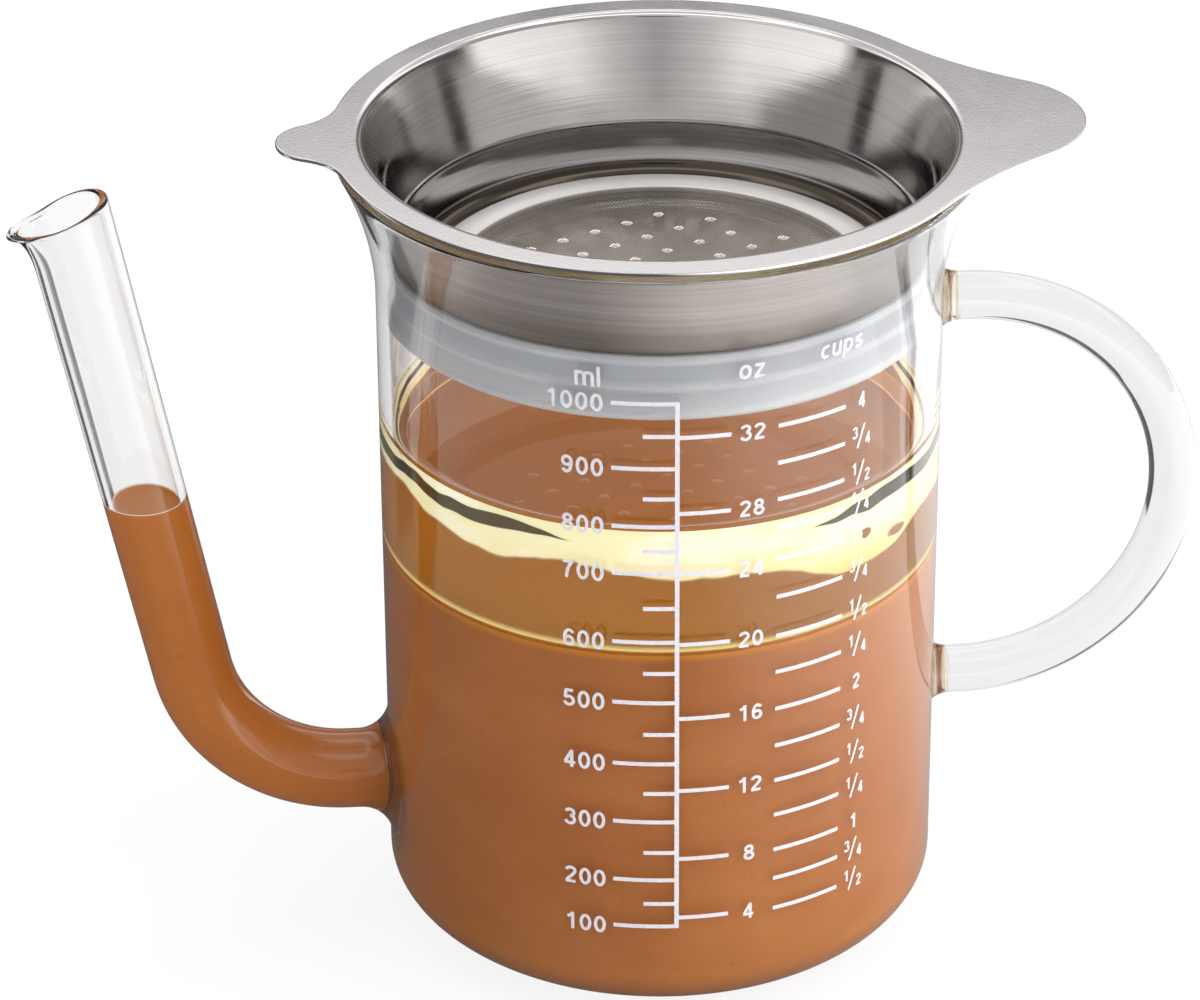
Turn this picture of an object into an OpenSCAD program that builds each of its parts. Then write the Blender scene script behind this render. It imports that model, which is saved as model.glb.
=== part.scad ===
// Gravy fat separator: a blown glass jug whose pouring spout leaves the wall near the base,
// a glass rod handle, and a lift-out steel strainer that hangs in the mouth on a ribbed
// gasket and holds a loose fine-mesh filter.
// Millimetres. Origin at the centre of the base, +Z up, spout towards -X, handle towards +X.

/* [Jug] */
// Outer diameter of the straight wall
jug_d = 107; // [98:0.5:116]
// Height of the glass rim above the base
jug_h = 163.6; // [152:0.2:180]
// Thickness of the blown wall
wall_t = 2.3; // [1.8:0.1:2.8]
// Thickness of the glass in the base
base_t = 4; // [3:0.1:6]
// Width of the round corner between base and wall
corner_w = 19.2; // [14:0.2:24]
// Height of the round corner between base and wall
corner_h = 12.3; // [9:0.1:14]
// How far the rim stands out past the straight wall
flare_w = 7.2; // [6:0.1:9]
// Lean of the flared wall just under the rim, in degrees from upright
rim_lean = 26; // [22:0.5:32]
// Thickness of the rounded rim
rim_d = 3.2; // [2.8:0.1:3.8]

/* [Spout] */
// Height of the spout's root above the base
spout_z = 29.1; // [26:0.1:34]
// Outer diameter of the tube from its root to the end of the bend
spout_d = 15.6; // [13:0.1:17]
// Outer diameter of the tube at its mouth
mouth_d = 16.5; // [15:0.1:18]
// Thickness of the tube's wall
tube_t = 1.6; // [1.2:0.1:2]
// Straight length between the jug's wall and the bend
root_len = 8.2; // [7:0.1:14]
// Radius of the bend, on the tube's centre line
bend_r = 30; // [24:0.5:36]
// Lean of the upper leg away from the jug, in degrees from upright
leg_lean = 11; // [6:0.5:16]
// Length of the leg from the bend to the mouth
leg_len = 102; // [88:0.5:108]
// Radius of the concave weld between the tube and the jug
weld_r = 6; // [4:0.1:7]
// Length of the part of the leg that is drawn into the pouring lip
lip_h = 13; // [10:0.5:18]
// How far the lip stands out past the tube
lip_out = 3.6; // [2:0.1:5]
// How much lower the tip of the lip is than the back of the mouth
lip_drop = 3.2; // [1.5:0.1:4.5]

/* [Handle] */
// Diameter of the glass rod
rod_d = 9.4; // [8:0.1:11]
// Radius of the half-round bow, on the rod's centre line
bow_r = 41; // [36:0.5:43]
// Height of the bow's centre above the base
handle_z = 86.8; // [80:0.2:90]
// Straight length of rod between the jug's wall and the bow
rod_out = 5.5; // [5:0.1:12]
// Diameter of the weld collars where they meet the wall
collar_d = 12; // [11:0.1:14]
// Length of the weld collars
collar_len = 3.7; // [3:0.1:5]

/* [Strainer flange and cone] */
// Thickness of the flange and cone sheet
sheet_t = 0.8; // [0.6:0.05:1]
// How far the flange reaches past the glass rim
flange_over = 0.6; // [0.3:0.1:1.5]
// Outer radius of the rolled edge between flange and cone
roll_r = 1.5; // [1.2:0.1:2]
// Lean of the cone from upright, in degrees
cone_lean = 16.7; // [14:0.1:18]
// Depth of the cone below the top of the flange
cone_h = 20.9; // [17:0.1:24]
// How far the small ear over the spout reaches past the flange
ear_out = 9.9; // [7:0.1:13]
// Radius of the small ear's tip
ear_r = 8; // [6:0.1:10]
// Radius of the hollow curves beside the small ear
ear_hollow_r = 12; // [8:0.5:18]
// How far the lifting tab over the handle reaches past the flange
tab_out = 18.5; // [14:0.1:22]
// Radius of the lifting tab's tip
tab_r = 19.5; // [15:0.1:22]
// Radius of the hollow curves beside the lifting tab
tab_hollow_r = 82; // [50:1:120]

/* [Strainer cup] */
// Thickness of the cup's sheet
cup_t = 0.5; // [0.4:0.05:0.6]
// Depth of the filter's seat below the top of the flange
seat_depth = 31; // [27:0.1:34]
// Height of the lip that laps the inside of the cone
lap_h = 1; // [0.8:0.1:1.6]
// Inner radius of the corner between the cup's wall and floor
cup_corner = 3; // [2:0.1:4]
// Radius of the sunk middle of the floor
sunk_r = 36; // [34:0.1:38]
// How far the middle of the floor is sunk
sunk_h = 1.2; // [0.8:0.1:1.8]
// Width of the slope round the sunk middle
slope_w = 1.4; // [1:0.1:2]
// Diameter of the drain holes
hole_d = 2.1; // [1.6:0.1:2.8]
// Distance between neighbouring drain holes
hole_pitch = 7.25; // [6:0.05:9]
// Turn of the square hole pattern, in degrees
hole_turn = 27.6; // [0:0.2:90]
// Sideways offset of the hole pattern's centre
hole_shift_x = 2.1; // [-4:0.1:4]
// Lengthways offset of the hole pattern's centre
hole_shift_y = -2.7; // [-4:0.1:4]
// Radius of the field that the drain holes fill
field_r = 32.6; // [26:0.1:33]

/* [Gasket] */
// Thickness of the gasket from the cup to the tip of its ribs
gasket_t = 1.94; // [1.6:0.02:2.6]
// Height of the ribs above the gasket's band
rib_h = 0.6; // [0.3:0.05:0.8]
// Width of each rib where it leaves the band
rib_w = 1.8; // [1.2:0.1:2.4]
// Number of ribs
rib_n = 3; // [2:1:4]
// Gap between the top of the gasket and the lower edge of the cone
gasket_drop = 0.3; // [0.2:0.1:2]
// Thickness of the foot that turns in under the cup
foot_h = 2.6; // [1.8:0.1:3.5]
// How far the foot reaches in under the flat of the cup's floor
foot_in = 0.9; // [0.5:0.1:3]

/* [Filter] */
// Gap between the filter's ring and the start of the cup's corner
filter_play = 1.2; // [0.6:0.1:2]
// Width of the ring
ring_w = 5.5; // [4:0.1:7]
// Thickness of the ring's folded sheet
ring_t = 0.5; // [0.4:0.05:0.6]
// Thickness of the woven mesh
mesh_t = 0.4; // [0.3:0.05:0.6]

/* [Clearances] */
// Between the gasket's ribs and the glass
glass_gap = 0.1; // [0.06:0.01:0.2]
// Between the gasket and the cup that turns in it
steel_gap = 0.06; // [0.03:0.01:0.1]
// Between pieces that rest on each other and lift off
rest_gap = 0.1; // [0.05:0.01:0.2]

/* [Hidden] */
$fn = 96;

// Small overlap that makes cuts run clean through a face
over = 1;
// Small run-on that joins the roll to its sheet, in millimetres and in degrees
join = 1;
// Small step where one stretch of glass tube is set into the next
seat = 0.05;
// Steps along the curves that are not circles
corner_steps = 14;
flare_steps = 10;

// Jug
jug_r = jug_d / 2;
bore_r = jug_r - wall_t;
rim_r = rim_d / 2;
rim_max_r = jug_r + flare_w;
// The outer wall meets the rounded rim where both lean alike
flare_end = [rim_max_r - rim_r * (1 - cos(rim_lean)), jug_h - rim_r * (1 + sin(rim_lean))];
flare_h = 2 * (flare_end[0] - jug_r) / tan(rim_lean);
flare_z = flare_end[1] - flare_h;

// Spout
bend_angle = 90 - leg_lean;
bend_x = jug_r + root_len;
spout_bore_d = spout_d - 2 * tube_t;
mouth_bore_d = mouth_d - 2 * tube_t;
// The leg's straight cone ends where the lip starts
straight_len = leg_len - lip_h;
lip_sides = 36;
lip_steps = 7;

// Handle
bow_x = jug_r + rod_out;
collar_r = (collar_len * collar_len + pow((collar_d - rod_d) / 2, 2)) / (collar_d - rod_d);

// Strainer heights, from the rim that the flange rests on
flange_z = jug_h + rest_gap;
top_z = flange_z + sheet_t;
cone_z = top_z - cone_h;
seat_z = top_z - seat_depth;

// Strainer radii, from the glass inwards
flange_r = rim_max_r + flange_over;
gasket_r = bore_r - glass_gap;
cup_r = gasket_r - gasket_t - steel_gap;
cup_bore_r = cup_r - cup_t;
// The rolled edge is tangent to the cone, whose inner face ends on the cup's outer face
roll_out_z = top_z - roll_r + roll_r * sin(cone_lean);
roll_x = cup_r + (roll_out_z - cone_z) * tan(cone_lean) + roll_r * cos(cone_lean);

// Gasket
gasket_top_z = cone_z - gasket_drop;
cup_under_z = seat_z - cup_t;
gasket_z = cup_under_z - steel_gap - foot_h;
foot_r = cup_bore_r - cup_corner - foot_in;

// Filter
filter_r = cup_bore_r - cup_corner - filter_play;
filter_z = seat_z + rest_gap;
filter_h = 2 * ring_t + mesh_t;
fold_r = filter_h / 2;

// ---------- Jug ----------

// A point on a quarter ellipse that runs from the base, at 0, to the wall, at 1
function corner_point(s, w, h) = [jug_r - corner_w + w * sin(90 * s), corner_h - h * cos(90 * s)];

// Radius of the outer wall at a share s of the way up the flare
function flare_radius(s) = jug_r + (flare_end[0] - jug_r) * s * s;

// Lean of the outer wall there, in degrees
function flare_slope(s) = atan(2 * (flare_end[0] - jug_r) * s / flare_h);

// A point of the flare, set in from the outer wall by a thickness
function flare_point(s, inset) = [flare_radius(s) - inset * cos(flare_slope(s)),
                                  flare_z + flare_h * s + inset * sin(flare_slope(s))];

// One side of the jug's wall from the middle of the base to the rim
function wall_line(w, h, inset) = concat(
    [[0, corner_h - h]],
    [for (i = [0 : corner_steps]) corner_point(i / corner_steps, w, h)],
    [for (i = [0 : flare_steps]) flare_point(i / flare_steps, inset)]);

// The jug filled solid, which welded pieces are cut back from
module jug_solid() {
    rotate_extrude()
        polygon(concat(wall_line(corner_w, corner_h, 0), [[0, flare_end[1]]]));
}

module jug_wall() {
    outside = wall_line(corner_w, corner_h, 0);
    inside = wall_line(corner_w - wall_t, corner_h - base_t, wall_t);
    rotate_extrude() {
        polygon(concat(outside, [for (i = [len(inside) - 1 : -1 : 0]) inside[i]]));
        translate([rim_max_r - rim_r, jug_h - rim_r])
            circle(r = rim_r);
    }
}

module jug_body() {
    color("lightcyan", 0.35)
        difference() {
            jug_wall();
            // Hole that the spout draws from
            translate([-jug_r - over, 0, spout_z])
                rotate([0, 90, 0])
                    cylinder(h = wall_t + 3 * over, d = spout_bore_d);
        }
}

// ---------- Spout ----------

// Moves a shape built upwards from the origin to the end of the bend, leaning with the leg
module at_leg() {
    translate([-bend_x, 0, spout_z + bend_r])
        rotate([0, bend_angle, 0])
            translate([0, 0, -bend_r])
                rotate([0, -90, 0])
                    children();
}

// Root, bend and leg as one solid rod, used for the tube and again for its bore
module spout_rod(root_d, end_d, len) {
    mirror([1, 0, 0])
        translate([bend_x, 0, spout_z]) {
            rotate([0, -90, 0])
                cylinder(h = root_len + wall_t + over, d = root_d);
            translate([0, 0, bend_r])
                rotate([90, 0, 0])
                    rotate([0, 0, -90])
                        rotate_extrude(angle = bend_angle)
                            translate([bend_r, 0])
                                circle(d = root_d);
        }
    // The leg starts a little inside the bend, and a little slimmer
    at_leg()
        translate([0, 0, -over])
            cylinder(h = len + over, d1 = root_d - 2 * seat, d2 = end_d);
}

// Concave collar of glass round the root
module spout_weld() {
    collar = spout_d / 2 + weld_r;
    translate([-jug_r - weld_r, 0, spout_z])
        rotate([0, 90, 0])
            rotate_extrude()
                difference() {
                    square([collar, weld_r + wall_t]);
                    translate([collar, 0])
                        circle(r = weld_r);
                    translate([0, -over])
                        square([spout_bore_d / 2, weld_r + wall_t + 2 * over]);
                }
}

// Share of the lip at a turn from the pouring side, 1 at its tip
function lip_share(turn) = pow(max(0, cos(turn)), 7);

// Radius of the drawn mouth at a share s of its height
function lip_radius(turn, s, r) = r + lip_out * lip_share(turn) * pow(s, 2.4);

// Height of the drawn mouth, which drops evenly from its back to its tip
function lip_height(turn, s) = s * (lip_h + lip_drop / 2 * (1 - s) - lip_drop * s * (1 + cos(turn)) / 2);

// One ring of the drawn mouth
function lip_ring(s, r) = [for (i = [0 : lip_sides - 1])
    let (turn = i * 360 / lip_sides, reach = lip_radius(turn, s, r))
        [reach * cos(turn), reach * sin(turn), lip_height(turn, s)]];

// The drawn mouth as a loft: up the outside, over the rim and down the bore. It starts inside
// the wall of the leg, so its two faces are set in a little from the leg's.
module spout_lip() {
    outer_r = mouth_d / 2 - seat;
    inner_r = mouth_bore_d / 2 + seat;
    foot = [0, 0, -over];
    rings = concat([[for (p = lip_ring(0, outer_r)) p + foot]],
                   [for (i = [0 : lip_steps]) lip_ring(i / lip_steps, outer_r)],
                   [for (i = [lip_steps : -1 : 0]) lip_ring(i / lip_steps, inner_r)],
                   [[for (p = lip_ring(0, inner_r)) p + foot]]);
    n = len(rings);
    polyhedron(
        points = [for (ring = rings) each ring],
        faces = [for (j = [0 : n - 1], i = [0 : lip_sides - 1])
            let (k = (i + 1) % lip_sides, m = (j + 1) % n)
                each [[j * lip_sides + i, m * lip_sides + i, j * lip_sides + k],
                      [j * lip_sides + k, m * lip_sides + i, m * lip_sides + k]]]);
}

module pouring_spout() {
    color("lightcyan", 0.35) {
        difference() {
            union() {
                spout_rod(spout_d, mouth_d, straight_len);
                spout_weld();
            }
            spout_rod(spout_bore_d, mouth_bore_d, straight_len);
            jug_solid();
        }
        // The lip's tip points away from the jug
        at_leg()
            translate([0, 0, straight_len])
                rotate([0, 0, 180])
                    spout_lip();
    }
}

// ---------- Handle ----------

// Straight end of the rod with its weld collar, leaving the wall at a height
module handle_end(z) {
    translate([jug_r, 0, z])
        rotate([0, 90, 0]) {
            translate([0, 0, -wall_t])
                cylinder(h = rod_out + wall_t, d = rod_d);
            rotate_extrude()
                difference() {
                    translate([0, -wall_t])
                        square([collar_d / 2, collar_len + wall_t]);
                    translate([rod_d / 2 + collar_r, collar_len])
                        circle(r = collar_r);
                }
        }
}

module handle() {
    color("lightcyan", 0.35)
        difference() {
            union() {
                translate([bow_x, 0, handle_z])
                    rotate([90, 0, 0])
                        rotate([0, 0, -90])
                            rotate_extrude(angle = 180)
                                translate([bow_r, 0])
                                    circle(d = rod_d);
                handle_end(handle_z - bow_r);
                handle_end(handle_z + bow_r);
            }
            jug_solid();
        }
}

// ---------- Strainer ----------

// A round-tipped ear of the flange along +X, blended into it by two hollow curves
module ear_outline(tip, r, hollow) {
    x = tip - r;
    to_flange = flange_r + hollow;
    to_ear = r + hollow;
    hollow_x = (to_flange * to_flange - to_ear * to_ear + x * x) / (2 * x);
    hollow_y = sqrt(to_flange * to_flange - hollow_x * hollow_x);
    translate([x, 0])
        circle(r = r);
    difference() {
        polygon([[0, 0], [hollow_x, -hollow_y], [x, 0], [hollow_x, hollow_y]]);
        translate([hollow_x, hollow_y])
            circle(r = hollow);
        translate([hollow_x, -hollow_y])
            circle(r = hollow);
    }
}

module strainer_funnel() {
    color("gainsboro") {
        translate([0, 0, flange_z])
            linear_extrude(sheet_t)
                difference() {
                    union() {
                        circle(r = flange_r);
                        mirror([1, 0])
                            ear_outline(flange_r + ear_out, ear_r, ear_hollow_r);
                        ear_outline(flange_r + tab_out, tab_r, tab_hollow_r);
                    }
                    circle(r = roll_x);
                }
        rotate_extrude() {
            // Rolled edge, which runs on a little into the flange and the cone it joins
            translate([roll_x, top_z - roll_r])
                intersection() {
                    difference() {
                        circle(r = roll_r);
                        circle(r = roll_r - sheet_t);
                    }
                    polygon([[0, 0], [join, 2 * roll_r], [-2 * roll_r, 2 * roll_r],
                             2 * roll_r * [-cos(cone_lean - join), sin(cone_lean - join)]]);
                }
            cone_top = [roll_x, top_z - roll_r] + roll_r * [-cos(cone_lean), sin(cone_lean)];
            through = sheet_t * [cos(cone_lean), -sin(cone_lean)];
            polygon([[cup_r, cone_z], [cup_r + sheet_t / cos(cone_lean), cone_z],
                     cone_top + through, cone_top]);
        }
    }
}

// Outline of the cup's outer face below the cone, made larger by a gap
module cup_outline(r, floor_z, corner, sunk) {
    square_top = cone_z - floor_z;
    translate([0, floor_z]) {
        square([r - corner, square_top]);
        translate([0, corner])
            square([r, square_top - corner]);
        translate([r - corner, corner])
            circle(r = corner);
        polygon([[0, -sunk_h], [sunk - slope_w, -sunk_h], [sunk, 0], [sunk, corner], [0, corner]]);
    }
}

module cup_section() {
    lap_x = lap_h * tan(cone_lean);
    difference() {
        intersection() {
            cup_outline(cup_r, cup_under_z, cup_corner + cup_t, sunk_r);
            square([cup_r, cone_z]);
        }
        cup_outline(cup_bore_r, seat_z, cup_corner, sunk_r);
        translate([0, seat_z + cup_corner])
            square([cup_bore_r, cone_h]);
    }
    polygon([[cup_bore_r, cone_z - over], [cup_r, cone_z - over], [cup_r, cone_z],
             [cup_r + lap_x, cone_z + lap_h], [cup_bore_r + lap_x, cone_z + lap_h],
             [cup_bore_r, cone_z]]);
}

module strainer_cup() {
    reach = ceil(field_r / hole_pitch) + 1;
    color("silver")
        difference() {
            rotate_extrude()
                cup_section();
            rotate([0, 0, hole_turn])
                for (i = [-reach : reach], j = [-reach : reach]) {
                    x = i * hole_pitch + hole_shift_x;
                    y = j * hole_pitch + hole_shift_y;
                    if (norm([x, y]) + hole_d / 2 < field_r)
                        translate([x, y, cup_under_z - sunk_h - over])
                            cylinder(h = cup_t + 2 * over, d = hole_d, $fn = 24);
                }
        }
}

// ---------- Gasket ----------

module gasket_section() {
    band_r = gasket_r - rib_h;
    ribs_z = gasket_z + rib_w / 2;
    rib_step = (gasket_top_z - gasket_z - rib_w) / (rib_n - 1);
    difference() {
        union() {
            translate([0, gasket_z])
                square([band_r, gasket_top_z - gasket_z]);
            for (i = [0 : rib_n - 1])
                translate([band_r, ribs_z + i * rib_step])
                    polygon([[-over, -rib_w / 2], [0, -rib_w / 2], [rib_h, -rib_w / 6],
                             [rib_h, rib_w / 6], [0, rib_w / 2], [-over, rib_w / 2]]);
        }
        // Space for the cup, which turns freely in the gasket
        translate([0, cup_under_z - steel_gap])
            square([cup_r - cup_t - cup_corner, cone_h]);
        translate([0, cup_under_z + cup_t + cup_corner])
            square([cup_r + steel_gap, cone_h]);
        translate([cup_bore_r - cup_corner, cup_under_z + cup_t + cup_corner])
            circle(r = cup_corner + cup_t + steel_gap);
        // Opening inside the foot
        square([foot_r, gasket_top_z + over]);
    }
}

module seal_gasket() {
    color("whitesmoke")
        rotate_extrude()
            gasket_section();
}

// ---------- Filter ----------

module filter_ring() {
    color("gainsboro")
        rotate_extrude()
            difference() {
                union() {
                    translate([filter_r - ring_w, filter_z])
                        square([ring_w - fold_r, filter_h]);
                    translate([filter_r - fold_r, filter_z + fold_r])
                        circle(r = fold_r);
                }
                // Fold that grips the edge of the mesh
                translate([0, filter_z + ring_t])
                    square([filter_r - fold_r, mesh_t]);
            }
}

module filter_mesh() {
    color("tan")
        translate([0, 0, filter_z + ring_t])
            cylinder(h = mesh_t, r = filter_r - fold_r);
}

jug_body();
pouring_spout();
handle();
seal_gasket();
strainer_funnel();
strainer_cup();
filter_ring();
filter_mesh();
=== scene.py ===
"""Gravy fat separator on a pale table: blown glass jug with a drawn spout and a rod handle,
steel strainer on a ribbed gasket, loose mesh filter, and gravy under a layer of clear fat.
Lengths in the helpers are millimetres; meshes are stored in metres."""
from math import atan, atan2, cos, degrees, hypot, pi, radians, sin, sqrt, tan

import bmesh
import bpy
from mathutils import Matrix, Vector


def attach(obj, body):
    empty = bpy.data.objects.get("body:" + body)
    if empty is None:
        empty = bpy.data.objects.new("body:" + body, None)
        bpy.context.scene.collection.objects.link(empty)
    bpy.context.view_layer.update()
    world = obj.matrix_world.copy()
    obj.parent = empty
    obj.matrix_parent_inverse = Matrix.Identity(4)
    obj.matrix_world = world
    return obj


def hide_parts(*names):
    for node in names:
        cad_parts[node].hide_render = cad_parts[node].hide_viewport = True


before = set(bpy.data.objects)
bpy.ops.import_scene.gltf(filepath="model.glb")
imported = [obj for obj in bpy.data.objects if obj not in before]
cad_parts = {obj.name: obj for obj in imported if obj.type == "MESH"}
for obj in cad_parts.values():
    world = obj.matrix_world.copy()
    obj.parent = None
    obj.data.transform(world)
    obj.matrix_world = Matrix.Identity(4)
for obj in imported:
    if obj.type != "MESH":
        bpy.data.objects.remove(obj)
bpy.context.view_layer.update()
MM = 0.001
MERGE = 0.002  # points closer than this become one

# ---------- Sizes, in millimetres, as the part's source has them ----------

JUG_R, WALL, BASE_T = 53.5, 2.3, 4.0
BORE_R = JUG_R - WALL
CORNER_W, CORNER_H = 19.2, 12.3
RIM_MAX_R, JUG_H, RIM_R, RIM_LEAN = 60.7, 163.6, 1.6, radians(26)
FLARE_END = (RIM_MAX_R - RIM_R * (1 - cos(RIM_LEAN)), JUG_H - RIM_R * (1 + sin(RIM_LEAN)))
FLARE_H = 2 * (FLARE_END[0] - JUG_R) / tan(RIM_LEAN)
FLARE_Z = FLARE_END[1] - FLARE_H

SPOUT_Z, SPOUT_R, SPOUT_BORE, MOUTH_R, MOUTH_BORE = 29.1, 7.8, 6.2, 8.25, 6.65
BEND_X, BEND_R, BEND_ANGLE, LEG_LEN, WELD_R = 61.7, 30.0, radians(79), 102.0, 6.0
LIP_H, LIP_OUT, LIP_DROP = 13.0, 3.6, 3.2

ROD_R, BOW_R, BOW_X, HANDLE_Z, COLLAR_R, COLLAR_LEN = 4.7, 41.0, 59.0, 86.8, 6.0, 3.7

FLANGE_Z, TOP_Z, SHEET, FLANGE_R, ROLL_R = 163.7, 164.5, 0.8, 61.3, 1.5
CONE_Z, CONE_LEAN, CUP_R, CUP_T, SEAT_Z = 143.6, radians(16.7), 49.1, 0.5, 133.5
ROLL_X = (CUP_R + (TOP_Z - ROLL_R + ROLL_R * sin(CONE_LEAN) - CONE_Z) * tan(CONE_LEAN)
          + ROLL_R * cos(CONE_LEAN))
GASKET_R, GASKET_Z, GASKET_TOP = 51.1, 130.34, 143.3
FILTER_R, FILTER_Z, RING_W = 44.4, 133.6, 5.5

GRAVY_Z, FAT_Z, SPOUT_LEVEL = 82.0, 107.9, 90.7
WET = 0.06  # liquids reach this far into the glass, so that no film of air shows
FACE = -95.0  # azimuth that faces the camera


# ---------- Mesh helpers ----------

def new_object(name, data):
    obj = bpy.data.objects.new(name, data)
    bpy.context.scene.collection.objects.link(obj)
    return obj


def mesh_of(name, bm):
    """A mesh in metres with its faces outwards, from a bmesh in millimetres."""
    bmesh.ops.recalc_face_normals(bm, faces=bm.faces)
    bmesh.ops.scale(bm, vec=(MM, MM, MM), verts=bm.verts)
    mesh = bpy.data.meshes.new(name)
    bm.to_mesh(mesh)
    bm.free()
    return mesh


def piece(name, bm, body, material, stands_for=(), crease=38):
    """Turns a bmesh in millimetres into a finished piece that rides on a body."""
    bmesh.ops.remove_doubles(bm, verts=bm.verts, dist=MERGE)
    mesh = mesh_of(name, bm)
    mesh.materials.append(material)
    mesh.shade_smooth()
    mesh.set_sharp_from_angle(angle=radians(crease))
    obj = new_object(name, mesh)
    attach(obj, body)
    if stands_for:
        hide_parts(*stands_for)
    return obj


def line_of(bm, points, closed=False):
    """A chain of edges through points."""
    verts = [bm.verts.new(p) for p in points]
    pairs = list(zip(verts, verts[1:] + verts[:1] if closed else verts[1:]))
    return verts, [bm.edges.new(pair) for pair in pairs]


def lathe(bm, outline, steps=160):
    """Spins a closed outline of (radius, height) round the upright axis."""
    verts, edges = line_of(bm, [(r, 0, z) for r, z in outline])
    bmesh.ops.spin(bm, geom=verts + edges, cent=(0, 0, 0), axis=(0, 0, 1), dvec=(0, 0, 0),
                   angle=2 * pi, steps=steps, use_merge=True, use_duplicate=False)
    bmesh.ops.remove_doubles(bm, verts=bm.verts, dist=MERGE)


def follow(bm, verts, edges, points):
    """Extrudes edges and moves each new vertex to its point."""
    made = bmesh.ops.extrude_edge_only(bm, edges=edges)["geom"]
    new = {v for v in made if isinstance(v, bmesh.types.BMVert)}
    verts = [next(e.other_vert(v) for e in v.link_edges if e.other_vert(v) in new) for v in verts]
    for v, p in zip(verts, points):
        v.co = p
    return verts


def loft(bm, rings, joined=False):
    """Extrudes the first ring through the others, then joins the ends or closes them."""
    ring, edges = line_of(bm, rings[0], closed=True)
    start = edges[:]
    for points in rings[1:]:
        ring = follow(bm, ring, edges, points)
        edges = [bm.edges.get(pair) for pair in zip(ring, ring[1:] + ring[:1])]
    if joined:
        bmesh.ops.bridge_loops(bm, edges=start + edges)
    else:
        bmesh.ops.contextual_create(bm, geom=start)
        bmesh.ops.contextual_create(bm, geom=edges)


def oval_arc(cx, cy, rx, ry, start, end, steps=14):
    """Points on an arc of an oval, angles in degrees from the first axis towards the second."""
    return [(cx + rx * cos(radians(start + (end - start) * i / steps)),
             cy + ry * sin(radians(start + (end - start) * i / steps))) for i in range(steps + 1)]


def arc(cx, cz, r, start, end, steps):
    return oval_arc(cx, cz, r, r, start, end, steps)


def turns_of(sides):
    return [2 * pi * i / sides for i in range(sides)]


def cut(obj, cutter_bm):
    """Takes a closed shape out of a piece for good."""
    mesh = mesh_of("cutter", cutter_bm)
    tool = new_object("cutter", mesh)
    mod = obj.modifiers.new("Hole", "BOOLEAN")
    mod.operation, mod.object, mod.solver = "DIFFERENCE", tool, "EXACT"
    bpy.context.view_layer.update()
    done = bpy.data.meshes.new_from_object(obj.evaluated_get(bpy.context.evaluated_depsgraph_get()))
    obj.modifiers.clear()
    obj.data = done
    bpy.data.objects.remove(tool)
    bpy.data.meshes.remove(mesh)


# ---------- Shader helpers ----------

class Nodes:
    """A small writer for node trees."""

    def __init__(self, tree):
        self.tree = tree

    def add(self, kind, inputs=None, **settings):
        node = self.tree.nodes.new(kind)
        for key, value in settings.items():
            setattr(node, key, value)
        for key, value in (inputs or {}).items():
            socket = node.inputs[key]
            if isinstance(value, bpy.types.NodeSocket):
                self.tree.links.new(value, socket)
            else:
                socket.default_value = value
        return node

    def math(self, operation, a, b=0.0, c=0.0):
        return self.add("ShaderNodeMath", {0: a, 1: b, 2: c}, operation=operation).outputs[0]

    def times(self, a, b):
        return self.math("MULTIPLY", a, b)

    def times_plus(self, a, b, c):
        return self.math("MULTIPLY_ADD", a, b, c)

    def plus(self, a, b):
        return self.math("ADD", a, b)

    def minus(self, a, b):
        return self.math("SUBTRACT", a, b)

    def larger(self, a, b):
        return self.math("MAXIMUM", a, b)

    def size(self, a):
        return self.math("ABSOLUTE", a)

    def length(self, a, b):
        return self.math("SQRT", self.times_plus(a, a, self.times(b, b)))

    def towards(self, x, y, azimuth):
        """How far a place lies towards an azimuth in degrees."""
        a = radians(azimuth)
        return self.plus(self.times(x, cos(a)), self.times(y, sin(a)))

    def span(self, value, low, high, to_low=0.0, to_high=1.0, smooth=True):
        return self.add("ShaderNodeMapRange", {"Value": value, "From Min": low, "From Max": high,
                                               "To Min": to_low, "To Max": to_high},
                        interpolation_type="SMOOTHSTEP" if smooth else "LINEAR").outputs[0]

    def blend(self, share, a, b):
        return self.add("ShaderNodeMix", {0: share, 6: a, 7: b}, data_type="RGBA").outputs[2]

    def noise(self, vector, scale, detail=3.0, rough=0.5, distortion=0.0):
        return self.add("ShaderNodeTexNoise", {"Vector": vector, "Scale": scale, "Detail": detail,
                                               "Roughness": rough, "Distortion": distortion}).outputs["Fac"]

    def stretch(self, vector, scale, turn=(0, 0, 0), shift=(0, 0, 0)):
        return self.add("ShaderNodeMapping", {"Vector": vector, "Scale": scale, "Rotation": turn,
                                              "Location": shift}).outputs[0]

    def split(self, vector):
        return self.add("ShaderNodeSeparateXYZ", {0: vector}).outputs

    def bump(self, height, strength, distance):
        return self.add("ShaderNodeBump", {"Height": height, "Strength": strength,
                                           "Distance": distance}).outputs[0]

    def mix(self, share, a, b):
        return self.add("ShaderNodeMix", {0: share, 2: a, 3: b}, data_type="FLOAT").outputs[0]

    def grain(self, tree, place, **values):
        """A shared surface effect at a place, with its own plain values."""
        return self.add("ShaderNodeGroup", {"Vector": place, **values}, node_tree=tree).outputs

    def link(self, source, socket):
        self.tree.links.new(source, socket)


def srgb(r, g, b):
    """A colour from its 0-255 screen values."""
    def lin(v):
        v /= 255
        return v / 12.92 if v <= 0.04045 else ((v + 0.055) / 1.055) ** 2.4
    return lin(r), lin(g), lin(b), 1.0


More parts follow.
